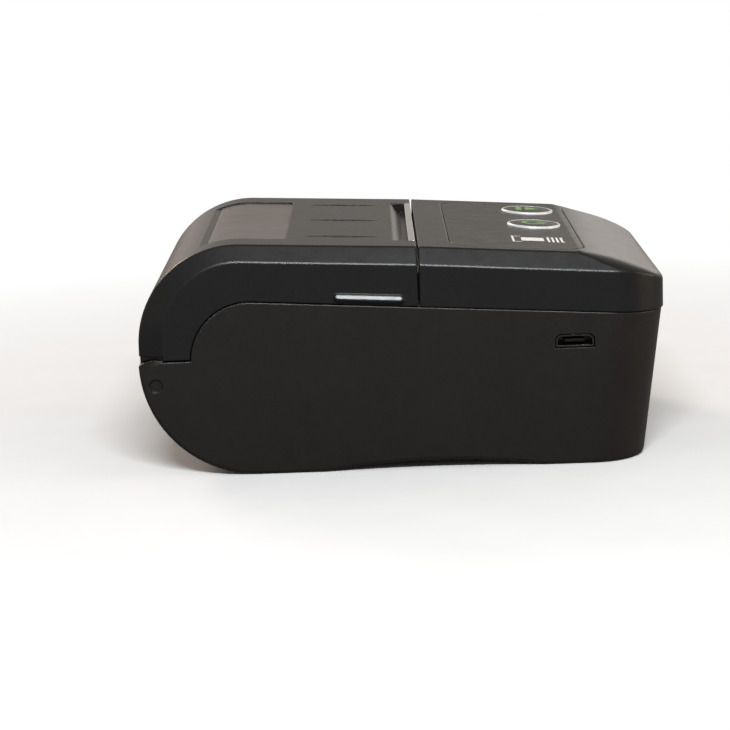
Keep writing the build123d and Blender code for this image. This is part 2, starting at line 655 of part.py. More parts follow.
def make_cover():
    edge = SPLIT_X - SPLIT_GAP / 2
    cover = COVER_FORM & block(-60, edge, -50, 50, COVER_BOTTOM, 60)
    cover += block(-47.8, -42.0, -HALF_WIDTH, HALF_WIDTH, EAR_TOP + 0.4, COVER_BOTTOM + 0.2)
    cover -= below_seam(COVER_GAP)
    cover = fillet(rim_edges(cover, COVER_GAP) + split_edges(cover, edge), RIM_R)
    cover -= TOP_HOLLOW

    # Window over the paper roll: a pane let into the curved top, on a ledge
    x0, x1, half = WINDOW
    pane = window_block(0.0) & prism(top_path(PANE_DEPTHS[0], 30), -50, 50)
    pane -= prism(top_path(PANE_DEPTHS[1], 20), -50, 50)
    cover -= window_block(0.02) - prism(top_path(PANE_DEPTHS[1], 20), -50, 50)
    cover -= block(x0 + 1.0, x1 - 1.0, 1.0 - half, half - 1.0, 30, 60)
    cover -= prism([
        (x0 - 1.6, crown_height(x0 - 1.6)),
        (x0 + 0.1, crown_height(x0 + 0.1) - PANE_DEPTHS[0] - 0.05),
        (x0 + 0.1, 50.0),
        (x0 - 1.6, 50.0),
    ], 0.4 - half, half - 0.4)
    NODES["paper_window"] = pane

    # Boat-shaped finger grooves
    x0, x1 = GROOVE_X
    middle = (x0 + x1) / 2
    above_floor = prism([
        (x0, on_cover_top(x0, GROOVE_DEPTH)),
        (x1, on_cover_top(x1, GROOVE_DEPTH)),
        (x1, 50.0),
        (x0, 50.0),
    ], -50, 50)
    for y in GROOVE_YS:
        ends = ((x0, y, 40), (x1, y, 40))
        rim = Wire([
            Edge.make_three_point_arc(ends[0], (middle, y + GROOVE_HALF, 40), ends[1]),
            Edge.make_three_point_arc(ends[1], (middle, y - GROOVE_HALF, 40), ends[0]),
        ])
        cover -= Solid.extrude(Face(rim), Vector(0, 0, 10)) & above_floor

    # Steep recess behind the tear bar, the thicker floor under both, and the bar's seat
    cover += block(RECESS_X[0] - 1.2, edge, -BAR_HALF - 1.2, BAR_HALF + 1.2, *RECESS_FLOOR)
    bar_rear = edge - BAR_THICK
    cover -= prism([
        (RECESS_X[0], on_cover_top(RECESS_X[0])),
        (RECESS_X[1], on_cover_top(RECESS_X[1], RECESS_DEPTHS[0])),
        (RECESS_X[2], on_cover_top(RECESS_X[2], RECESS_DEPTHS[1])),
        (bar_rear, on_cover_top(bar_rear, RECESS_DEPTHS[2])),
        (bar_rear, 48.0),
        (RECESS_X[0], 48.0),
    ], -BAR_HALF, BAR_HALF)
    bar = block(bar_rear, edge, -BAR_HALF, BAR_HALF, BAR_FOOT, on_cover_top(edge) + 0.05)
    cover -= block(bar_rear, edge + 1, -BAR_HALF, BAR_HALF, BAR_FOOT, 48.0)
    bar_top = [e for e in bar.edges().filter_by(Axis.Y) if e.center().Z > BAR_FOOT + 1]
    NODES["tear_bar"] = fillet(bar_top, BAR_EDGE_R)

    # Finger bars on both sides: half-round ridges with a flat upper face that follow the seam
    (x0, z0), (x1, z1) = FINGER_BAR_ENDS
    start = Vector(x0, 0, z0)
    finish = Vector(x1, 0, z1)
    along = (finish - start).normalized()
    tilt = math.radians(FINGER_FACET[0])
    for side in (-1, 1):
        lift = Vector(0, side * (HALF_WIDTH + FINGER_BAR_PROUD - FINGER_BAR_R), 0)
        line = Edge.make_line(start + lift, finish + lift)
        ring = Wire([Edge.make_circle(FINGER_BAR_R, Plane(start + lift, z_dir=finish - start))])
        ridge = Solid.sweep(ring, path=line)
        for end in (start, finish):
            ridge += Pos(*(end + lift)) * Sphere(FINGER_BAR_R)
        normal = Vector(0, side * math.cos(tilt), math.sin(tilt))
        normal = (normal - along * normal.dot(along)).normalized()
        facet = Plane(start + lift + normal * FINGER_FACET[1], x_dir=along, z_dir=normal)
        ridge -= facet * Pos(0, 0, 5) * Box(60, 60, 10)
        inner = HALF_WIDTH - 0.4
        cover += ridge & block(-60, 60, *sorted((side * inner, side * 42.0)), 20, 60)

    # Brackets that carry the platen
    for y0, y1 in (BRACKET_Y, (-BRACKET_Y[1], -BRACKET_Y[0])):
        bracket = prism([
            (-6.5, 43.5),
            (-6.5, 38.0),
            (-4.6, 32.6),
            ("via", (PLATEN[0], 31.2)),
            (2.4, 33.4),
            (2.7, 43.0),
        ], y0, y1)
        cover += bracket
        cover -= rod_y(PLATEN, BUSH_R, y0 - 0.1, y1 + 0.1)

    # Hinge knuckles
    for y0, y1 in (KNUCKLE_Y, (-KNUCKLE_Y[1], -KNUCKLE_Y[0])):
        cover += rod_y(HINGE, KNUCKLE_R, y0, y1)
        cover += block(REAR_X + 0.05, -50.2, y0, y1, HINGE[1], 27.0)
        cover -= rod_y(HINGE, PIN_R + PIN_RUNNING, y0 - 0.1, y1 + 0.1)

    # Skirts that close the wedge between the cover and the rounded ears
    for side in (-1, 1):
        y0, y1 = sorted((side * SKIRT_Y[0], side * SKIRT_Y[1]))
        skirt = block(REAR_X, -47.9, y0, y1, SKIRT_BOTTOM, COVER_BOTTOM + 0.3)
        skirt &= Pos(SKIRT_STEP[0], -side * SKIRT_STEP[1], 0) * COVER_FORM
        cover += skirt - rod_y(HINGE, EAR_FILL_R + 0.12, y0 - 1, y1 + 1)
    NODES["paper_cover"] = cover

    bushes = rod_y(PLATEN, BUSH_R, *BUSH_Y) + rod_y(PLATEN, BUSH_R, -BUSH_Y[1], -BUSH_Y[0])
    bushes -= rod_y(PLATEN, SHAFT_R + PIN_RUNNING, -40, 40)
    NODES["platen_bushings"] = bushes


def make_top_shell():
    edge = SPLIT_X + SPLIT_GAP / 2
    shell = PANEL_FORM & block(edge, 60, -50, 50, 0, 60)
    shell -= below_seam(SHELL_GAP)
    shell = fillet(rim_edges(shell, SHELL_GAP) + split_edges(shell, edge), RIM_R)
    shell -= TOP_HOLLOW
    shell -= label_patch(0.25, LABEL_THICK + 0.05)
    for y in (-SCREW_Y, SCREW_Y):
        boss = rod_z(SCREW_X, y, 2.6, 26.1, 39.2)
        shell += boss - rod_z(SCREW_X, y, SCREW_R, 20, 33.0)
    for y in KEY_BOARD_POSTS:
        shell += disc(key_frame(y, KEY_BOARD_DEPTH), 1.8, KEY_BOARD_DEPTH - 1.0)
    for y in KEY_YS.values():
        shell -= disc(key_frame(y, 3.0), KEY_R + 0.1, 6.0)
        shell -= disc(key_frame(y, BEZEL_DEPTH), BEZEL_R, 3.0)
    NODES["top_shell"] = shell

    label = label_patch(0, LABEL_THICK)
    for y in KEY_YS.values():
        label -= disc(key_frame(y, 3.0), BEZEL_R + 0.05, 6.0)
    NODES["panel_label"] = label


def symbol(kind, y):
    """Prism of the lit mark in a key cap: a ring with a bar, or an arrow over a bar."""
    frame = key_frame(y, 0.15)
    if kind == "power":
        mark = disc(frame, 2.6, 2.0) - disc(frame, 1.75, 2.0)
        mark -= frame * Pos(1.8, 0, 1.0) * Box(3.2, 2.0, 3.0)
        return mark + frame * Pos(1.7, 0, 1.0) * Box(2.4, 0.8, 2.0)
    arrow = extrude(Plane.XY * Polygon((-0.4, -2.3), (2.6, 0), (-0.4, 2.3), align=None), 2.0)
    bar = Pos(-1.9, 0, 1.0) * Box(1.1, 4.6, 2.0)
    return (frame * arrow) + (frame * bar)


def make_keys():
    for kind, y in KEY_YS.items():
        bezel = disc(key_frame(y, BEZEL_DEPTH), BEZEL_R, BEZEL_DEPTH + BEZEL_HEIGHT)
        bezel = fillet(bezel.edges().sort_by(Axis.Z)[-1:], 0.35)
        bezel -= disc(key_frame(y, 3.0), KEY_R + 0.12, 6.0)
        NODES[kind + "_bezel"] = bezel

        dome_top = KEY_HEIGHT + KEY_DOME_R - math.sqrt(KEY_DOME_R**2 - KEY_R**2)
        cap = disc(key_frame(y, 1.95), KEY_R, 4.0)
        cap &= key_frame(y, KEY_DOME_R - dome_top) * Sphere(KEY_DOME_R)
        mark = cap & symbol(kind, y)
        cap -= symbol(kind, y)
        cap += disc(key_frame(y, 2.9), KEY_R + 0.7, 0.95)
        cap += disc(key_frame(y, 3.4), 1.5, 0.6)
        NODES[kind + "_button"] = cap
        NODES[kind + "_symbol"] = mark
        NODES[kind + "_switch_plunger"] = disc(key_frame(y, 4.9), PLUNGER_R, 1.5)
        case = key_frame(y, KEY_BOARD_DEPTH - SWITCH[2] / 2) * Box(*SWITCH)
        NODES[kind + "_switch"] = case - disc(key_frame(y, 5.6), PLUNGER_R + 0.05, 4.0)

    board_frame = key_frame(8.0, KEY_BOARD_DEPTH + KEY_BOARD[2] / 2)
    NODES["key_board"] = board_frame * Pos(1.5, 0, 0) * Box(*KEY_BOARD)


def gear_path(centre, teeth, phase):
    """Outline of a spur gear: straight-sided teeth with running backlash."""
    pitch_r = MODULE * teeth / 2
    root_r = pitch_r - 1.2 * MODULE
    tip_r = pitch_r + 0.75 * MODULE
    step = 360.0 / teeth
    points = []
    for i in range(teeth):
        middle = phase + i * step
        for radius, share in ((root_r, -0.28), (tip_r, -0.11), (tip_r, 0.11), (root_r, 0.28)):
            points.append(polar(centre, radius, middle + share * step))
    return points


def gear(centre, teeth, phase, bore):
    return prism(gear_path(centre, teeth, phase), *GEAR_Y) - rod_y(centre, bore, 30, 40)


def meshed_phase(phase, teeth, next_teeth, angle):
    """Phase that puts the next gear's gap on this gear's tooth."""
    offset = (phase - angle) % (360.0 / teeth)
    return angle + 180.0 - offset * teeth / next_teeth + 180.0 / next_teeth


FIRST_IDLER = polar(PLATEN, MODULE * (PLATEN_TEETH + IDLER_TEETH) / 2, OPENING_DIRECTION - 180.0)
SECOND_IDLER = polar(FIRST_IDLER, MODULE * IDLER_TEETH, SECOND_IDLER_ANGLE)
MOTOR = polar(SECOND_IDLER, MODULE * (IDLER_TEETH + PINION_TEETH) / 2, PINION_ANGLE)


def make_platen():
    roller = rod_y(PLATEN, PLATEN_R, -PLATEN_HALF, PLATEN_HALF)
    NODES["platen_roller"] = roller - rod_y(PLATEN, SHAFT_R, -40, 40)
    NODES["platen_shaft"] = rod_y(PLATEN, SHAFT_R, -34.0, 36.0)
    phase = OPENING_DIRECTION - 180.0
    NODES["platen_gear"] = gear(PLATEN, PLATEN_TEETH, phase, SHAFT_R)
    phase = meshed_phase(phase, PLATEN_TEETH, IDLER_TEETH, OPENING_DIRECTION - 180.0)
    NODES["first_idler_gear"] = gear(FIRST_IDLER, IDLER_TEETH, phase, AXLE_R + PIN_RUNNING)
    phase = meshed_phase(phase, IDLER_TEETH, IDLER_TEETH, SECOND_IDLER_ANGLE)
    NODES["second_idler_gear"] = gear(SECOND_IDLER, IDLER_TEETH, phase, AXLE_R + PIN_RUNNING)
    phase = meshed_phase(phase, IDLER_TEETH, PINION_TEETH, PINION_ANGLE)
    NODES["motor_pinion"] = gear(MOTOR, PINION_TEETH, phase, MOTOR_SHAFT_R)
    NODES["motor_shaft"] = rod_y(MOTOR, MOTOR_SHAFT_R, 28.0, 36.0)


def make_print_unit():
    inner, outer = FRAME_Y
    rear, front = FRAME_X
    floor = FRAME_FLOOR_Z
    drive_plate = prism([
        (rear, floor), (FRAME_DRIVE[0], floor), FRAME_DRIVE, *FRAME_MOUTH,
    ], inner, outer)
    free_plate = prism([(rear, floor), (front, floor), (front, FRAME_TOP), *FRAME_MOUTH], -outer, -inner)
    frame = drive_plate + free_plate
    frame += block(front - FRAME_WALL, front, -outer, outer, floor, FRAME_TOP)
    frame += block(rear, front, -outer, outer, floor, floor + FRAME_WALL)
    seat_r = BUSH_R + 0.15
    for y0, y1 in ((inner - 1, outer + 1), (-outer - 1, -inner + 1)):
        frame -= rod_y(PLATEN, seat_r, y0, y1)
        seat = block(rear - 4, PLATEN[0] + seat_r, y0, y1, PLATEN[1], FRAME_TOP + 4)
        seat += block(rear - 4, PLATEN[0] - 1.5, y0, y1, PLATEN[1] - 3.6, FRAME_TOP + 4)
        frame -= seat
    for side in (-1, 1):
        frame -= rod_z(FRAME_SCREW[0], side * FRAME_SCREW[1], FRAME_SCREW_R + 0.2, 20, 28)
    frame -= rod_y(MOTOR, 2.0, inner - 1, outer + 1)
    for centre in (FIRST_IDLER, SECOND_IDLER):
        frame -= rod_y(centre, AXLE_R, inner - 1, outer + 1)
    NODES["print_frame"] = frame

    axles = Part()
    for centre in (FIRST_IDLER, SECOND_IDLER):
        axles += rod_y(centre, AXLE_R, inner, GEAR_Y[1] + 0.3)
        axles += rod_y(centre, 1.9, outer, GEAR_Y[0] - 0.1)
    NODES["idler_axles"] = axles

    can = rod_y(MOTOR, MOTOR_R, MOTOR_BACK_Y, inner)
    NODES["stepper_motor"] = can - rod_y(MOTOR, MOTOR_SHAFT_R + 0.1, MOTOR_BACK_Y + 12.5, 40)

    sink_x = HEAD_X + HEAD_THICK
    NODES["thermal_head"] = block(HEAD_X, sink_x, -HEAD_HALF, HEAD_HALF, *HEAD_Z)
    rib_x = sink_x + SINK_THICK
    sink = block(sink_x, rib_x, -SINK_HALF, SINK_HALF, *SINK_Z)
    ribs, spacing, rib_width, rib_top = SINK_RIBS
    for i in range(ribs):
        y = (i - (ribs - 1) / 2) * spacing
        sink += block(rib_x, rib_x + 1.0, y - rib_width / 2, y + rib_width / 2, SINK_Z[0], rib_top)
    NODES["head_heat_sink"] = sink

    springs = Part()
    spring_end = SPRING_WIRE_R + 0.05
    length = front - FRAME_WALL - rib_x - 2 * spring_end
    for y in SPRING_YS:
        coil = Helix(pitch=length / SPRING_TURNS, height=length, radius=SPRING_R)
        wire = Plane(coil @ 0, z_dir=coil % 0) * Circle(SPRING_WIRE_R)
        turn = sweep(wire, path=coil, is_frenet=True)
        springs += Pos(rib_x + spring_end, y, SPRING_Z) * Rot(0, 90, 0) * turn
    NODES["head_springs"] = springs

    screws = Part()
    seat_z = floor + FRAME_WALL
    for side in (-1, 1):
        x, y = FRAME_SCREW[0], side * FRAME_SCREW[1]
        screws += rod_z(x, y, 2 * FRAME_SCREW_R, seat_z, seat_z + 1.2)
        screws += rod_z(x, y, FRAME_SCREW_R, 18.0, seat_z)
    NODES["print_frame_screws"] = screws

    near, far = GUIDE_R
    guide = prism([
        polar(PLATEN, near, 215),
        ("via", polar(PLATEN, near, 238)),
        polar(PLATEN, near, 262),
        polar(PLATEN, far, 262),
        (PLATEN[0] - 0.6, seat_z),
        (PLATEN[0] - 2.2, seat_z),
        (PLATEN[0] - 2.8, 29.6),
        polar(PLATEN, far + 0.2, 215),
    ], -GUIDE_HALF, GUIDE_HALF)
    slot = block(-8.0, 2.0, SENSOR_Y[0] - 0.3, SENSOR_Y[1] + 0.3, floor, 29.9)
    for side in (-1, 1):
        slot += rod_z(FRAME_SCREW[0], side * FRAME_SCREW[1], 2.4, floor, 28)
    NODES["paper_guide"] = guide - slot
    NODES["paper_sensor"] = block(rear, -0.2, *SENSOR_Y, seat_z, 29.3)


def make_electronics():
    NODES["main_board"] = block(*BOARD_X, *BOARD_Y, *BOARD_Z)

    x, z = USB
    mouth_y = USB_MOUTH_STEP - HALF_WIDTH
    socket = prism(usb_path(0), mouth_y, mouth_y + USB_DEPTH)
    NODES["usb_socket"] = socket - prism(usb_path(-USB_WALL), mouth_y - 1, mouth_y + USB_DEPTH - 0.6)
    tongue_y = (mouth_y + 0.8, mouth_y + USB_DEPTH - 0.6)
    NODES["usb_tongue"] = block(x - 2.0, x + 2.0, *tongue_y, z - 0.35, z + 0.25)

    top = BOARD_Z[1]
    NODES["control_chip"] = block(24.0, 34.0, -6.0, 4.0, top, top + 1.4)
    NODES["radio_module"] = block(26.0, 40.0, 10.0, 21.0, top, top + 2.0)
    capacitors = rod_z(20.0, -24.0, 2.5, top, top + 5.5)
    NODES["board_capacitors"] = capacitors + rod_z(20.0, -30.5, 2.5, top, top + 5.5)
    NODES["cable_connector"] = block(*CONNECTOR_X, -CONNECTOR_HALF, CONNECTOR_HALF, top, top + 1.9)
    NODES["head_cable"] = prism([
        (5.2, 28.0), (5.2, 26.9), ("via", (5.5, 26.2)), (6.2, 25.9), (11.2, 25.9), ("via", (12.1, 25.6)),
        (12.5, 24.8), ("via", (12.8, 24.5)), (13.2, 24.4), (14.0, 24.4), (14.0, 24.7), (13.3, 24.7),
        ("via", (12.9, 24.8)), (12.8, 25.0), ("via", (12.4, 25.9)), (11.3, 26.2), (6.3, 26.2),
        ("via", (5.7, 26.4)), (5.5, 27.0), (5.5, SINK_Z[0]),
    ], -CABLE_HALF, CABLE_HALF)
    half = CABLE_HALF + 0.5
    pass_z = FRAME_FLOOR_Z + FRAME_WALL
    NODES["print_frame"] -= block(FRAME_X[1] - FRAME_WALL, 11.5, -half, half, pass_z, 27.4)

    blades = Part()
    low, high = CONTACT_Z
    for y in CONTACT_YS:
        blades += block(PACK_X[0] - 1.2, PACK_X[0] - 0.1, y - CONTACT_HALF, y + CONTACT_HALF,
                        low + 0.4, high - 0.4)
    NODES["battery_terminals"] = blades


def make_battery():
    x0, x1 = PACK_X
    body = block(x0, x1, -PACK_HALF, PACK_HALF, -5, PACK_TOP)
    lifted = Pos(0, 0, PACK_ROOM) * prism(base_path(0), -HALF_WIDTH, HALF_WIDTH)
    case = body & lifted
    cells = Part()
    wells = Part()
    middle = (x0 + x1) / 2
    for side in (-1, 1):
        cell = Pos(middle + 1.0, side * CELL_Y, 7.2) * Box(*CELL)
        wells += cell
        cell = fillet(cell.edges().filter_by(Axis.X), 2.0)
        cells += cell
    case -= wells
    pads = Part()
    for y in CONTACT_YS:
        pads += block(x0, x0 + 0.4, y - PAD_HALF, y + PAD_HALF, *CONTACT_Z)
    case -= pads
    case -= block(x1 - 3.0, x1 + 1, -8.0, 8.0, -5, 2.2)
    NODES["battery_case"] = case
    NODES["battery_cells"] = cells
    NODES["battery_pads"] = pads

    screws = Part()
    for y in (-SCREW_Y, SCREW_Y):
        screw = rod_z(SCREW_X, y, 1.9, 18.4, 20.0) + rod_z(SCREW_X, y, SCREW_R, 20.0, 32.0)
        screw -= block(SCREW_X - 1.3, SCREW_X + 1.3, y - 0.25, y + 0.25, 18, 19.2)
        screw -= block(SCREW_X - 0.25, SCREW_X + 0.25, y - 1.3, y + 1.3, 18, 19.2)
        screws += screw
    NODES["case_screws"] = screws


def main():
    make_base()
    make_cover()
    make_top_shell()
    make_keys()
    make_platen()
    make_print_unit()
    make_electronics()
    make_battery()
    os.makedirs("parts", exist_ok=True)
    for name, shape in NODES.items():
        export_step(Compound(children=list(Part(shape.wrapped).solids())), "parts/" + name + ".step")
    print("nodes:", len(NODES))


main()
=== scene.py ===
# Portable thermal printer: materials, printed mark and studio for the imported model.
import math

import bmesh
import bpy
from mathutils import Matrix, Vector


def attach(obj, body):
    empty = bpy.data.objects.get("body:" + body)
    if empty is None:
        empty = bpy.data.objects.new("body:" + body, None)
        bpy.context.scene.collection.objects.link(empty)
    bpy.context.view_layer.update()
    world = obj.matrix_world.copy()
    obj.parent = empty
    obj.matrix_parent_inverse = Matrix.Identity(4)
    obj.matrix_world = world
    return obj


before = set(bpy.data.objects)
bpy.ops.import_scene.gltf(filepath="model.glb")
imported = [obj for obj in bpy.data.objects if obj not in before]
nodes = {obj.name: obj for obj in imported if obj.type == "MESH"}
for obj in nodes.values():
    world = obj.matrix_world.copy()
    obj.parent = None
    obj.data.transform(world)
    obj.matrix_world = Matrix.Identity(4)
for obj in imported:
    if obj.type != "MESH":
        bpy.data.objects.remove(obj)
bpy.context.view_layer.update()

MM = 0.001

# Camera that gives the photograph's view: place in metres, angles in degrees, lens and sensor in millimetres
CAMERA_AT = (-0.00492, -0.51493, 0.11630)
CAMERA_DOWN = 11.244
CAMERA_LEFT = 0.340
CAMERA_ROLL = -2.031
CAMERA_LENS = 120.8
CAMERA_SENSOR = 36.0
CAMERA_CLIP = (0.01, 20.0)

# Surface of the moulded plastic
CLOUD_SIZE = 14 * MM
CLOUD_SHARE = 0.6
SAND_SIZE = 0.45 * MM
SAND_SHARE = 0.35
SAND_RELIEF = 0.0008 * MM
SAND_ROUGHNESS = 0.012
RUB_SIZE = 1.6 * MM
RUB_SHARE = 0.08
RUBBED_EDGE = 0.25 * MM
PATCH_SIZE = 3 * MM
DUST_SPACING = 4 * MM
DUST_SIZE = 0.12 * MM
DUST_COLOUR = (0.45, 0.44, 0.43)

# Surface of the metals
STREAK_SIZE = 0.6 * MM
STREAK_RELIEF = 0.003 * MM
TARNISH_SIZE = 4 * MM
METAL_EDGE = 0.1 * MM
ACROSS = (1, 0.1, 1)

# Surface of the platen's rubber
GRINDING_SIZE = 0.5 * MM
GRINDING_STRETCH = (1, 6, 1)
GRINDING_RELIEF = 0.01 * MM
RUBBER_CLOUD = 6 * MM
RUBBER_EDGE = 0.2 * MM

# Surface of the circuit boards
TRACK_SPACING = 2.2 * MM
TRACK_WIDTH = (0.10, 0.14)
TRACK_RELIEF = 0.03 * MM
LACQUER_SIZE = 2 * MM
BOARD_CLOUD = 8 * MM
BOARD_EDGE = 0.15 * MM
BOARD_EDGE_COLOUR = (0.35, 0.33, 0.22)

# Product of the bevelled and the true normal: an edge up to the first, none from the second
EDGE_PRODUCTS = (0.90, 0.995)
BEVEL_SAMPLES = 4

# Printed mark: the row of the keys, the mark's centre from there, and its parts from its centre
KEY_ROW_X = 28.8 * MM
MARK_ALONG = -0.6 * MM
MARK_ACROSS = -21.25 * MM
MARK_LIFT = 0.015 * MM
MARK_LINE = 0.45 * MM
SLOT_X = -5.3 * MM
SLOT_HALF = 4.0 * MM
PAPER_X = (-3.4 * MM, 1.2 * MM)
PAPER_HALF = 2.2 * MM
RIB_X = 1.9 * MM
RIB_STEP = 0.9 * MM
RIB_COUNT = 4
RIB_HALF = 3.4 * MM
HOOK_X = 5.3 * MM

# Floor, a hair under the feet so that the two faces don't coincide
FLOOR_HALF = 4.0
FLOOR_Z = -0.05 * MM
FLOOR_CLOUD = 20 * MM
FLOOR_TONES = ((0.90, 0.90, 0.90), (0.93, 0.93, 0.93))
FLOOR_REFLECTED = (0.20, 0.195, 0.19)
FLOOR_FADE = (0.06, 0.24)

# World light: tint, strength from the camera's side to the far side, and its gain from the horizon upwards
FILL_TINT = (1.0, 0.945, 0.87)
FILL_STRENGTH = (0.31, 0.37)
FILL_DEPTH = (-0.3, 0.6)
FILL_GAIN = (1.6, 1.0)
FILL_HEIGHT = (0.03, 0.16)

# Point that the lamps face
LAMP_AIM = (0, 0, 30 * MM)


def toned(colour, factor, lift=0.0):
    """A colour times a factor, plus a lift."""
    return tuple(min(1.0, factor * channel + lift) for channel in colour)


class Nodes:
    """The node tree of a material or of the world, built with short calls."""

    def __init__(self, owner, space="Object"):
        self.owner = owner
        owner.use_nodes = True
        self.tree = owner.node_tree
        self.tree.nodes.clear()
        self.place = self.add("ShaderNodeTexCoord").outputs[space]

    def add(self, kind, **values):
        node = self.tree.nodes.new(kind)
        for key, value in values.items():
            setattr(node, key, value)
        return node

    def link(self, output, node, socket):
        self.tree.links.new(output, node.inputs[socket])

    def calculate(self, operation, first, second):
        """Math of two values."""
        node = self.add("ShaderNodeMath", operation=operation)
        self.link(first, node, 0)
        self.link(second, node, 1)
        return node.outputs[0]

    def noise(self, size, detail=2.0, roughness=0.5, stretch=(1, 1, 1)):
        """Noise of about this grain size in metres, from 0 to 1."""
        mapping = self.add("ShaderNodeMapping")
        mapping.inputs["Scale"].default_value = stretch
        self.link(self.place, mapping, "Vector")
        noise = self.add("ShaderNodeTexNoise")
        noise.inputs["Scale"].default_value = 1.0 / size
        noise.inputs["Detail"].default_value = detail
        noise.inputs["Roughness"].default_value = roughness
        self.link(mapping.outputs[0], noise, "Vector")
        return noise.outputs["Fac"]

    def cells(self, size, **values):
        """Voronoi cells of about this size in metres."""
        cells = self.add("ShaderNodeTexVoronoi", **values)
        cells.inputs["Scale"].default_value = 1.0 / size
        self.link(self.place, cells, "Vector")
        return cells

    def spread(self, value, low, high, start=0.3, end=0.7):
        """Maps start..end of a value to low..high."""
        ramp = self.add("ShaderNodeMapRange")
        ramp.inputs["From Min"].default_value = start
        ramp.inputs["From Max"].default_value = end
        ramp.inputs["To Min"].default_value = low
        ramp.inputs["To Max"].default_value = high
        self.link(value, ramp, "Value")
        return ramp.outputs["Result"]

    def mix(self, factor, first, second):
        """Colour mix; each colour is a tuple or an output."""
        node = self.add("ShaderNodeMix", data_type="RGBA")
        self.link(factor, node, 0)
        for socket, colour in ((6, first), (7, second)):
            if isinstance(colour, tuple):
                node.inputs[socket].default_value = (*colour, 1.0)
            else:
                self.link(colour, node, socket)
        return node.outputs[2]

    def blend(self, factor, first, second):
        """Mix of two shaders."""
        node = self.add("ShaderNodeMixShader")
        for socket, output in enumerate((factor, first, second)):
            self.link(output, node, socket)
        return node.outputs[0]

    def bump(self, height, distance, strength, normal):
        node = self.add("ShaderNodeBump")
        node.inputs["Strength"].default_value = strength
        node.inputs["Distance"].default_value = distance
        self.link(height, node, "Height")
        self.link(normal, node, "Normal")
        return node.outputs["Normal"]

    def edges(self, radius):
        """1 on sharp edges within a radius, 0 on flats; and the normal rounded over those edges."""
        bevel = self.add("ShaderNodeBevel", samples=BEVEL_SAMPLES)
        bevel.inputs["Radius"].default_value = radius
        geometry = self.add("ShaderNodeNewGeometry")
        dot = self.add("ShaderNodeVectorMath", operation="DOT_PRODUCT")
        self.link(bevel.outputs[0], dot, 0)
        self.link(geometry.outputs["Normal"], dot, 1)
        return self.spread(dot.outputs["Value"], 1.0, 0.0, *EDGE_PRODUCTS), bevel.outputs[0]

    def specks(self, spacing, size, share):
        """1 on sparse round specks, such as dust and small nicks, 0 elsewhere."""
        cells = self.cells(spacing)
        spot = self.spread(cells.outputs["Distance"], 1.0, 0.0, 0.0, size / spacing)
        colour = self.add("ShaderNodeSeparateColor")
        self.link(cells.outputs["Color"], colour, 0)
        chosen = self.spread(colour.outputs[0], 0.0, 1.0, 1.0 - share, 1.0 - 0.5 * share)
        return self.calculate("MULTIPLY", spot, chosen)

    def shader(self, colour, roughness, normal, **fixed):
        """Ends the tree with a principled surface and gives the material."""
        node = self.add("ShaderNodeBsdfPrincipled")
        self.link(colour, node, "Base Color")
        self.link(roughness, node, "Roughness")
        self.link(normal, node, "Normal")
        for socket, value in fixed.items():
            node.inputs[socket.replace("_", " ")].default_value = value
        self.link(node.outputs[0], self.add("ShaderNodeOutputMaterial"), "Surface")
        return self.owner


def moulded_plastic(name, colour, rough=(0.28, 0.31), specular=0.5, edge=RUBBED_EDGE, dust=0.06):
    """Textured plastic: cloudy tone, fine sandy grain, paler rubbed edges, a few specks of dust."""
    m = Nodes(bpy.data.materials.new(name))
    cloud = m.noise(CLOUD_SIZE, detail=3.0)
    sand = m.noise(SAND_SIZE, detail=1.0)
    tone = m.mix(m.spread(cloud, 0.0, CLOUD_SHARE), colour, toned(colour, 1.35, 0.001))
    tone = m.mix(m.spread(sand, 0.0, SAND_SHARE), tone, toned(colour, 1.6, 0.002))
    sharp, rounded = m.edges(edge)
    rub = m.spread(m.noise(RUB_SIZE, detail=4.0, roughness=0.7), 0.0, RUB_SHARE)
    tone = m.mix(m.calculate("MULTIPLY", sharp, rub), tone, toned(colour, 3.0, 0.03))
    if dust:
        tone = m.mix(m.specks(DUST_SPACING, DUST_SIZE, dust), tone, DUST_COLOUR)
    patchy = m.spread(m.noise(PATCH_SIZE, detail=3.0), *rough)
    grainy = m.calculate("ADD", patchy, m.spread(sand, -SAND_ROUGHNESS, SAND_ROUGHNESS))
    normal = m.bump(sand, SAND_RELIEF, 0.6, rounded)
    return m.shader(tone, grainy, normal, Specular_IOR_Level=specular)


def metal(name, colour, rough, brushed=(1, 1, 1), relief=STREAK_RELIEF, metallic=1.0):
    """Bright or dull metal with a drawn or brushed streak, cloudy tone and cleaner edges."""
    m = Nodes(bpy.data.materials.new(name))
    streak = m.noise(STREAK_SIZE, detail=3.0, roughness=0.6, stretch=brushed)
    tone = m.mix(m.spread(m.noise(TARNISH_SIZE), 0.0, 0.6), colour, toned(colour, 0.85))
    sharp, rounded = m.edges(METAL_EDGE)
    tone = m.mix(sharp, tone, toned(colour, 1.15))
    normal = m.bump(streak, relief, 0.5, rounded)
    return m.shader(tone, m.spread(streak, *rough), normal, Metallic=metallic)


def rubber(name, colour):
    """Ground rubber: fine grinding marks round the roller."""
    m = Nodes(bpy.data.materials.new(name))
    marks = m.noise(GRINDING_SIZE, roughness=0.6, stretch=GRINDING_STRETCH)
    tone = m.mix(m.spread(m.noise(RUBBER_CLOUD, detail=3.0), 0.0, 0.7), colour, toned(colour, 1.8))
    sharp, rounded = m.edges(RUBBER_EDGE)
    tone = m.mix(sharp, tone, toned(colour, 2.5))
    normal = m.bump(marks, GRINDING_RELIEF, 0.6, rounded)
    return m.shader(tone, m.spread(marks, 0.6, 0.75), normal)


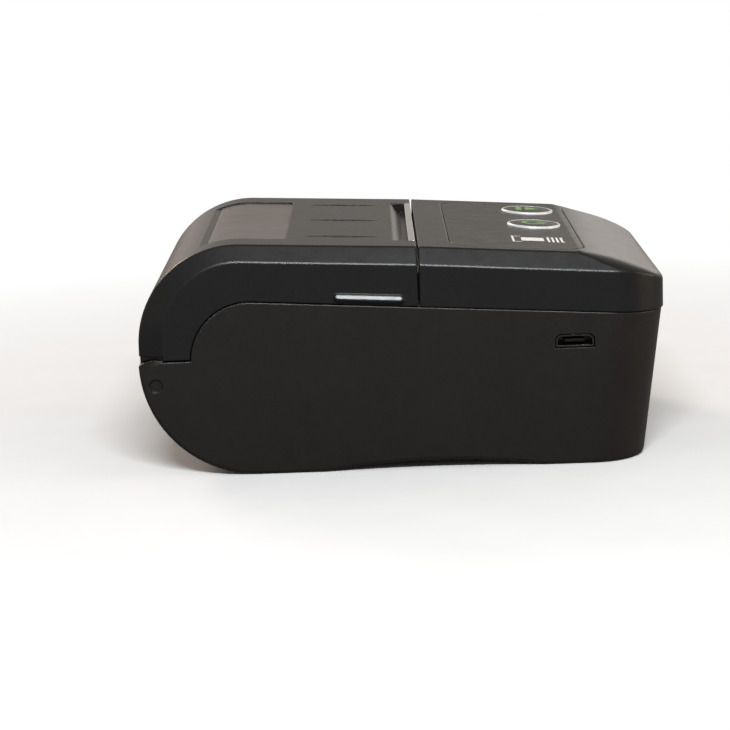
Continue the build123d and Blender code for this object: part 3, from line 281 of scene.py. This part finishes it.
def circuit_board(name, green, trace):
    """Lacquer over copper: lighter tracks on a step pattern, with a glossy top."""
    m = Nodes(bpy.data.materials.new(name))
    cells = m.cells(TRACK_SPACING, distance="CHEBYCHEV", feature="DISTANCE_TO_EDGE")
    track = m.spread(cells.outputs["Distance"], 1.0, 0.0, *TRACK_WIDTH)
    tone = m.mix(m.spread(m.noise(BOARD_CLOUD), 0.0, 0.6), green, toned(green, 0.8))
    tone = m.mix(track, tone, trace)
    sharp, rounded = m.edges(BOARD_EDGE)
    tone = m.mix(sharp, tone, BOARD_EDGE_COLOUR)
    normal = m.bump(track, TRACK_RELIEF, 0.5, rounded)
    return m.shader(tone, m.spread(m.noise(LACQUER_SIZE), 0.22, 0.34), normal)


def assign(material, *names):
    for name in names:
        mesh = nodes[name].data
        mesh.materials.clear()
        mesh.materials.append(material)
        for face in mesh.polygons:
            face.material_index = 0


def paint_housing():
    housing = moulded_plastic("housing_black", (0.0062, 0.0047, 0.0044), (0.34, 0.38))
    assign(housing, "base_shell", "battery_case")
    cover = moulded_plastic("cover_black", (0.0042, 0.0040, 0.0044), edge=0.4 * MM)
    assign(cover, "paper_cover", "top_shell")
    # The pane's pale, pinkish colour is partly its own tint and partly a painted reflection of the bright
    # surroundings
    pane = moulded_plastic("smoked_pane", (0.125, 0.104, 0.098), (0.36, 0.42), dust=0.1)
    assign(pane, "paper_window")
    assign(metal("bar_steel", (0.93, 0.93, 0.92), (0.10, 0.20), ACROSS), "tear_bar")
    assign(metal("pin_black", (0.05, 0.05, 0.052), (0.35, 0.5)), "hinge_pin")
    assign(metal("socket_steel", (0.085, 0.073, 0.065), (0.30, 0.42)), "usb_socket")
    tongue = moulded_plastic("tongue_black", (0.004, 0.004, 0.004), (0.5, 0.6), specular=0.2, dust=0.0)
    assign(tongue, "usb_tongue")


def paint_keys():
    assign(moulded_plastic("label_film", (0.022, 0.021, 0.020), (0.32, 0.38)), "panel_label")
    cap = moulded_plastic("key_black", (0.015, 0.016, 0.015), (0.25, 0.35))
    assign(cap, "power_button", "feed_button", "power_switch_plunger", "feed_switch_plunger")
    symbol = moulded_plastic("symbol_green", (0.16, 0.36, 0.08), (0.3, 0.4), dust=0.0)
    assign(symbol, "power_symbol", "feed_symbol")
    ring = metal("ring_silver", (0.93, 0.93, 0.92), (0.38, 0.44), relief=0.001 * MM, metallic=0.35)
    assign(ring, "power_bezel", "feed_bezel")


def paint_works():
    assign(rubber("platen_rubber", (0.02, 0.02, 0.021)), "platen_roller")
    steel = metal("turned_steel", (0.74, 0.74, 0.74), (0.16, 0.28), ACROSS)
    assign(steel, "platen_shaft", "case_screws", "print_frame_screws", "head_springs", "idler_axles",
           "motor_shaft")
    chassis = moulded_plastic("frame_black", (0.025, 0.025, 0.027), (0.45, 0.6), dust=0.0)
    assign(chassis, "print_frame", "paper_guide", "platen_bushings", "paper_sensor")
    acetal = moulded_plastic("gear_acetal", (0.72, 0.70, 0.64), (0.35, 0.45), dust=0.0)
    assign(acetal, "platen_gear", "first_idler_gear", "second_idler_gear", "motor_pinion")
    assign(metal("motor_zinc", (0.60, 0.60, 0.61), (0.30, 0.45)), "stepper_motor")
    assign(metal("sink_aluminium", (0.72, 0.72, 0.73), (0.30, 0.42), ACROSS), "head_heat_sink")
    ceramic = moulded_plastic("head_ceramic", (0.68, 0.62, 0.52), (0.12, 0.2), dust=0.0)
    assign(ceramic, "thermal_head")
    assign(moulded_plastic("cable_amber", (0.50, 0.27, 0.06), (0.2, 0.3), dust=0.0), "head_cable")


def paint_electronics():
    assign(circuit_board("board_green", (0.02, 0.12, 0.05), (0.04, 0.2, 0.08)), "main_board", "key_board")
    component = moulded_plastic("component_black", (0.02, 0.02, 0.02), (0.4, 0.55), dust=0.0)
    assign(component, "control_chip", "power_switch", "feed_switch", "cable_connector", "board_capacitors")
    assign(metal("shield_tin", (0.70, 0.70, 0.69), (0.25, 0.4)), "radio_module")
    assign(metal("cell_wrap", (0.62, 0.62, 0.64), (0.35, 0.5)), "battery_cells")
    gold = metal("contact_gold", (0.80, 0.62, 0.28), (0.18, 0.3))
    assign(gold, "battery_pads", "battery_terminals")


def panel_plane():
    """The key row's point on the label film's upper face, with the directions along and out of it."""
    film = nodes["panel_label"].data
    upper = max(film.polygons, key=lambda face: face.normal.z * face.area)
    out = upper.normal.copy()
    along = Vector((out.z, 0.0, -out.x))
    run = (KEY_ROW_X - upper.center.x) / along.x
    start = upper.center + along * run
    return Vector((start.x, 0.0, start.z)), along, out


def printed_mark():
    """Generic paper pictogram: a framed slot, a strip of paper and a ribbed roll, in white print."""
    start, along, out = panel_plane()
    shape = bmesh.new()

    def bar(x0, x1, y0, y1):
        corners = []
        for x, y in ((x0, y0), (x1, y0), (x1, y1), (x0, y1)):
            offset = along * (MARK_ALONG + x) + Vector((0, MARK_ACROSS + y, 0)) + out * MARK_LIFT
            corners.append(shape.verts.new(start + offset))
        shape.faces.new(corners)

    def hooks(x0, x1, half):
        bar(x0, x1, -half, -half + MARK_LINE)
        bar(x0, x1, half - MARK_LINE, half)

    bar(SLOT_X, SLOT_X + MARK_LINE, -SLOT_HALF, SLOT_HALF)
    hooks(SLOT_X + MARK_LINE, PAPER_X[0], SLOT_HALF)
    bar(*PAPER_X, -PAPER_HALF, PAPER_HALF)
    ribs = [RIB_X + RIB_STEP * i for i in range(RIB_COUNT)]
    for rib in ribs:
        bar(rib, rib + MARK_LINE, -RIB_HALF, RIB_HALF)
    hooks(ribs[-1] + MARK_LINE, HOOK_X, RIB_HALF)
    mesh = bpy.data.meshes.new("label_pictogram")
    shape.to_mesh(mesh)
    shape.free()
    piece = bpy.data.objects.new("label_pictogram", mesh)
    bpy.context.scene.collection.objects.link(piece)
    mesh.materials.append(moulded_plastic("print_white", (0.86, 0.85, 0.83), (0.45, 0.6), dust=0.0))
    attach(piece, "base")


def floor_material():
    """Pale floor that fades into white away from the object and is clear when seen from below."""
    m = Nodes(bpy.data.materials.new("floor_white"))
    camera = m.add("ShaderNodeLightPath").outputs["Is Camera Ray"]
    tone = m.mix(m.spread(m.noise(FLOOR_CLOUD, detail=3.0), 0.0, 1.0), *FLOOR_TONES)
    lit = m.add("ShaderNodeBsdfDiffuse")
    m.link(m.mix(camera, FLOOR_REFLECTED, tone), lit, "Color")
    white = m.add("ShaderNodeEmission")
    reach = m.add("ShaderNodeVectorMath", operation="LENGTH")
    m.link(m.place, reach, 0)
    fade = m.spread(reach.outputs["Value"], 0.0, 1.0, *FLOOR_FADE)
    above = m.blend(m.calculate("MULTIPLY", fade, camera), lit.outputs[0], white.outputs[0])
    below = m.add("ShaderNodeBsdfTransparent")
    back = m.add("ShaderNodeNewGeometry").outputs["Backfacing"]
    surface = m.blend(back, above, below.outputs[0])
    m.link(surface, m.add("ShaderNodeOutputMaterial"), "Surface")
    return m.owner


def make_floor():
    half = FLOOR_HALF
    mesh = bpy.data.meshes.new("floor")
    corners = [(x, y, FLOOR_Z) for x, y in ((-half, -half), (half, -half), (half, half), (-half, half))]
    mesh.from_pydata(corners, [], [(0, 1, 2, 3)])
    mesh.materials.append(floor_material())
    floor = bpy.data.objects.new("floor", mesh)
    bpy.context.scene.collection.objects.link(floor)


def make_camera():
    data = bpy.data.cameras.new("photo_camera")
    data.lens = CAMERA_LENS
    data.sensor_width = CAMERA_SENSOR
    data.clip_start, data.clip_end = CAMERA_CLIP
    camera = bpy.data.objects.new("photo_camera", data)
    turn = Matrix.Rotation(math.radians(CAMERA_LEFT), 4, "Z")
    tilt = Matrix.Rotation(math.radians(90 - CAMERA_DOWN), 4, "X")
    roll = Matrix.Rotation(math.radians(CAMERA_ROLL), 4, "Z")
    camera.matrix_world = Matrix.Translation(CAMERA_AT) @ turn @ tilt @ roll
    bpy.context.scene.collection.objects.link(camera)
    bpy.context.scene.camera = camera


def make_world():
    """White to the camera; for everything else a warm fill, brighter on the far side and low down."""
    world = bpy.data.worlds.new("studio")
    bpy.context.scene.world = world
    m = Nodes(world, "Generated")
    axes = m.add("ShaderNodeSeparateXYZ")
    m.link(m.place, axes, 0)
    depth = m.spread(axes.outputs["Y"], *FILL_STRENGTH, *FILL_DEPTH)
    gain = m.spread(axes.outputs["Z"], *FILL_GAIN, *FILL_HEIGHT)
    fill = m.add("ShaderNodeBackground")
    fill.inputs["Color"].default_value = (*FILL_TINT, 1.0)
    m.link(m.calculate("MULTIPLY", depth, gain), fill, "Strength")
    white = m.add("ShaderNodeBackground")
    white.inputs["Color"].default_value = (1.0, 1.0, 1.0, 1.0)
    camera = m.add("ShaderNodeLightPath").outputs["Is Camera Ray"]
    both = m.blend(camera, fill.outputs[0], white.outputs[0])
    m.link(both, m.add("ShaderNodeOutputWorld"), "Surface")


def area_light(name, at, size, power, tint):
    """Rectangular lamp: place and size in metres, power in watts."""
    data = bpy.data.lights.new(name, "AREA")
    data.shape = "RECTANGLE"
    data.size, data.size_y = size
    data.energy = power
    data.color = tint
    lamp = bpy.data.objects.new(name, data)
    lamp.location = at
    lamp.rotation_mode = "QUATERNION"
    lamp.rotation_quaternion = (Vector(LAMP_AIM) - Vector(at)).to_track_quat("-Z", "Y")
    bpy.context.scene.collection.objects.link(lamp)


def make_lamps():
    """A narrow strip for the edge lines, two lamps behind for the top, and a card for the front end."""
    area_light("front_strip", at=(0.02, -0.62, 0.50), size=(0.36, 0.05), power=5.6, tint=(0.93, 0.97, 1.0))
    area_light("rear_left", at=(-1.0, 1.5, 0.85), size=(0.6, 0.6), power=12, tint=(1.0, 0.80, 0.69))
    area_light("rear_right", at=(0.58, 1.7, 0.36), size=(0.6, 0.4), power=0.85, tint=(1.0, 0.92, 0.86))
    area_light("right_card", at=(1.0, -0.1, 0.2), size=(0.8, 0.4), power=3.0, tint=(1.0, 0.76, 0.62))


bpy.context.scene.view_settings.view_transform = "Standard"
make_camera()
make_floor()
make_world()
make_lamps()
paint_housing()
paint_keys()
paint_works()
paint_electronics()
printed_mark()
